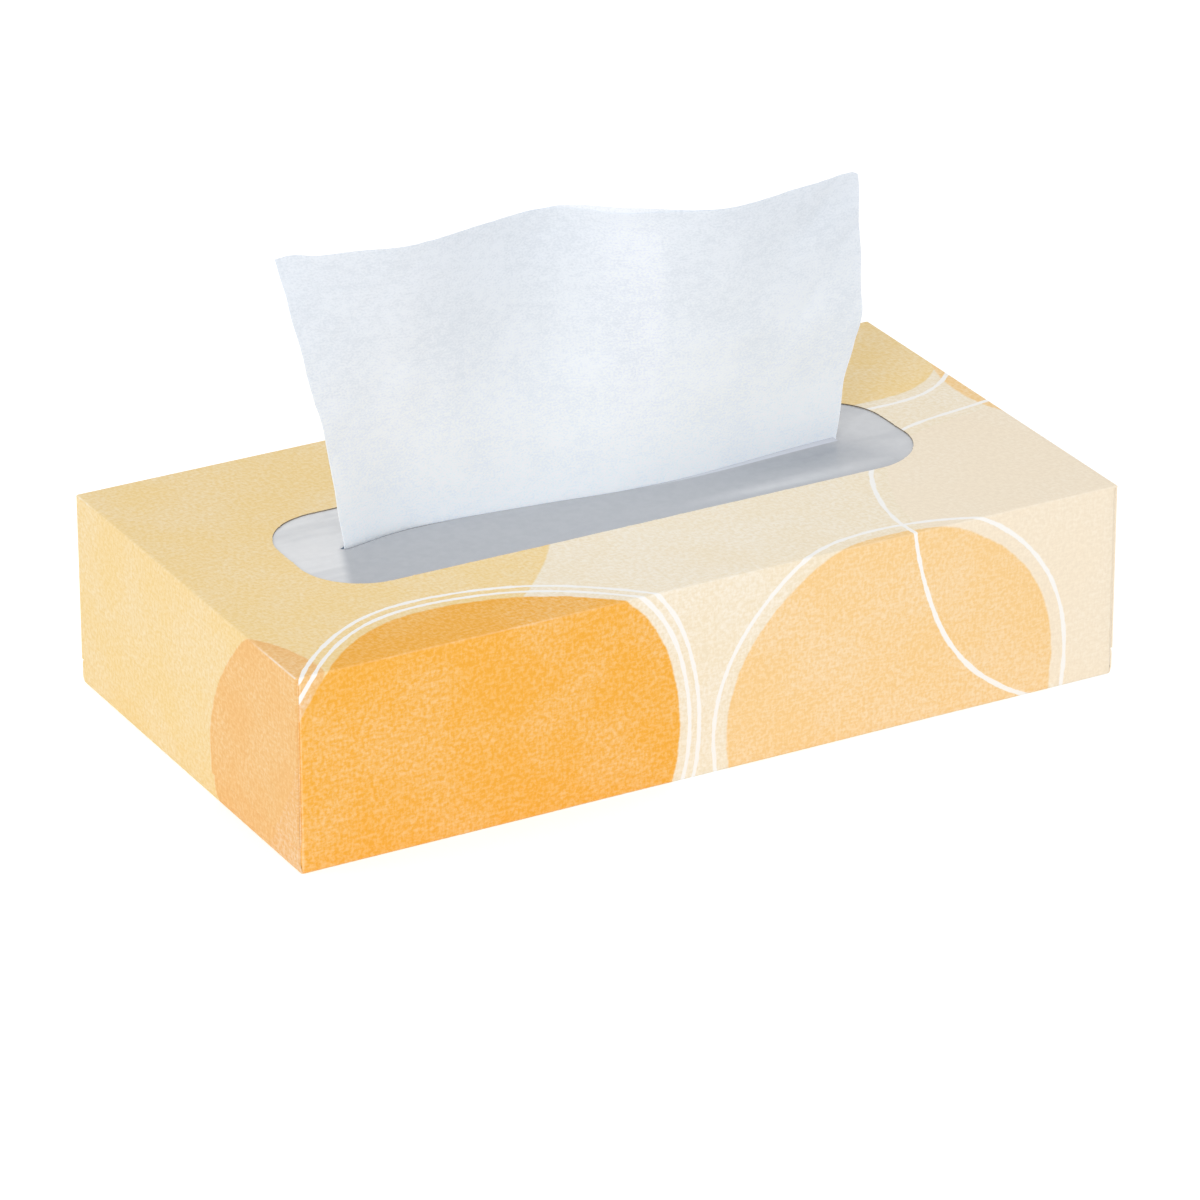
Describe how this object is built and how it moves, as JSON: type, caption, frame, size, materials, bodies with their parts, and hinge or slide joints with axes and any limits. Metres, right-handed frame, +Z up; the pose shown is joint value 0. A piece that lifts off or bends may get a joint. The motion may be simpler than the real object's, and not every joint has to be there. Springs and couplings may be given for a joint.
{
  "type": "tissue box",
  "caption": "Flat paperboard tissue carton with a rounded opening, a slit film under it, the stack of interfolded tissues inside and one sheet standing out of the slit",
  "frame": {"origin": "middle of the carton's underside, on the surface that it stands on", "axes": "+X along the carton's length, +Y towards its back, +Z up"},
  "size_m": [0.23, 0.122, 0.1265],
  "materials": {
    "printed_board": "matte printed paperboard in warm washes of colour, grey-brown inside",
    "film": "thin smooth film, slightly cloudy",
    "tissue": "soft creped tissue paper, cool white"
  },
  "bodies": {
    "root": {"carton": "printed_board", "slit_film": "film", "tissue_stack": "tissue", "pop_up_tissue": "tissue"}
  },
  "joints": []
}
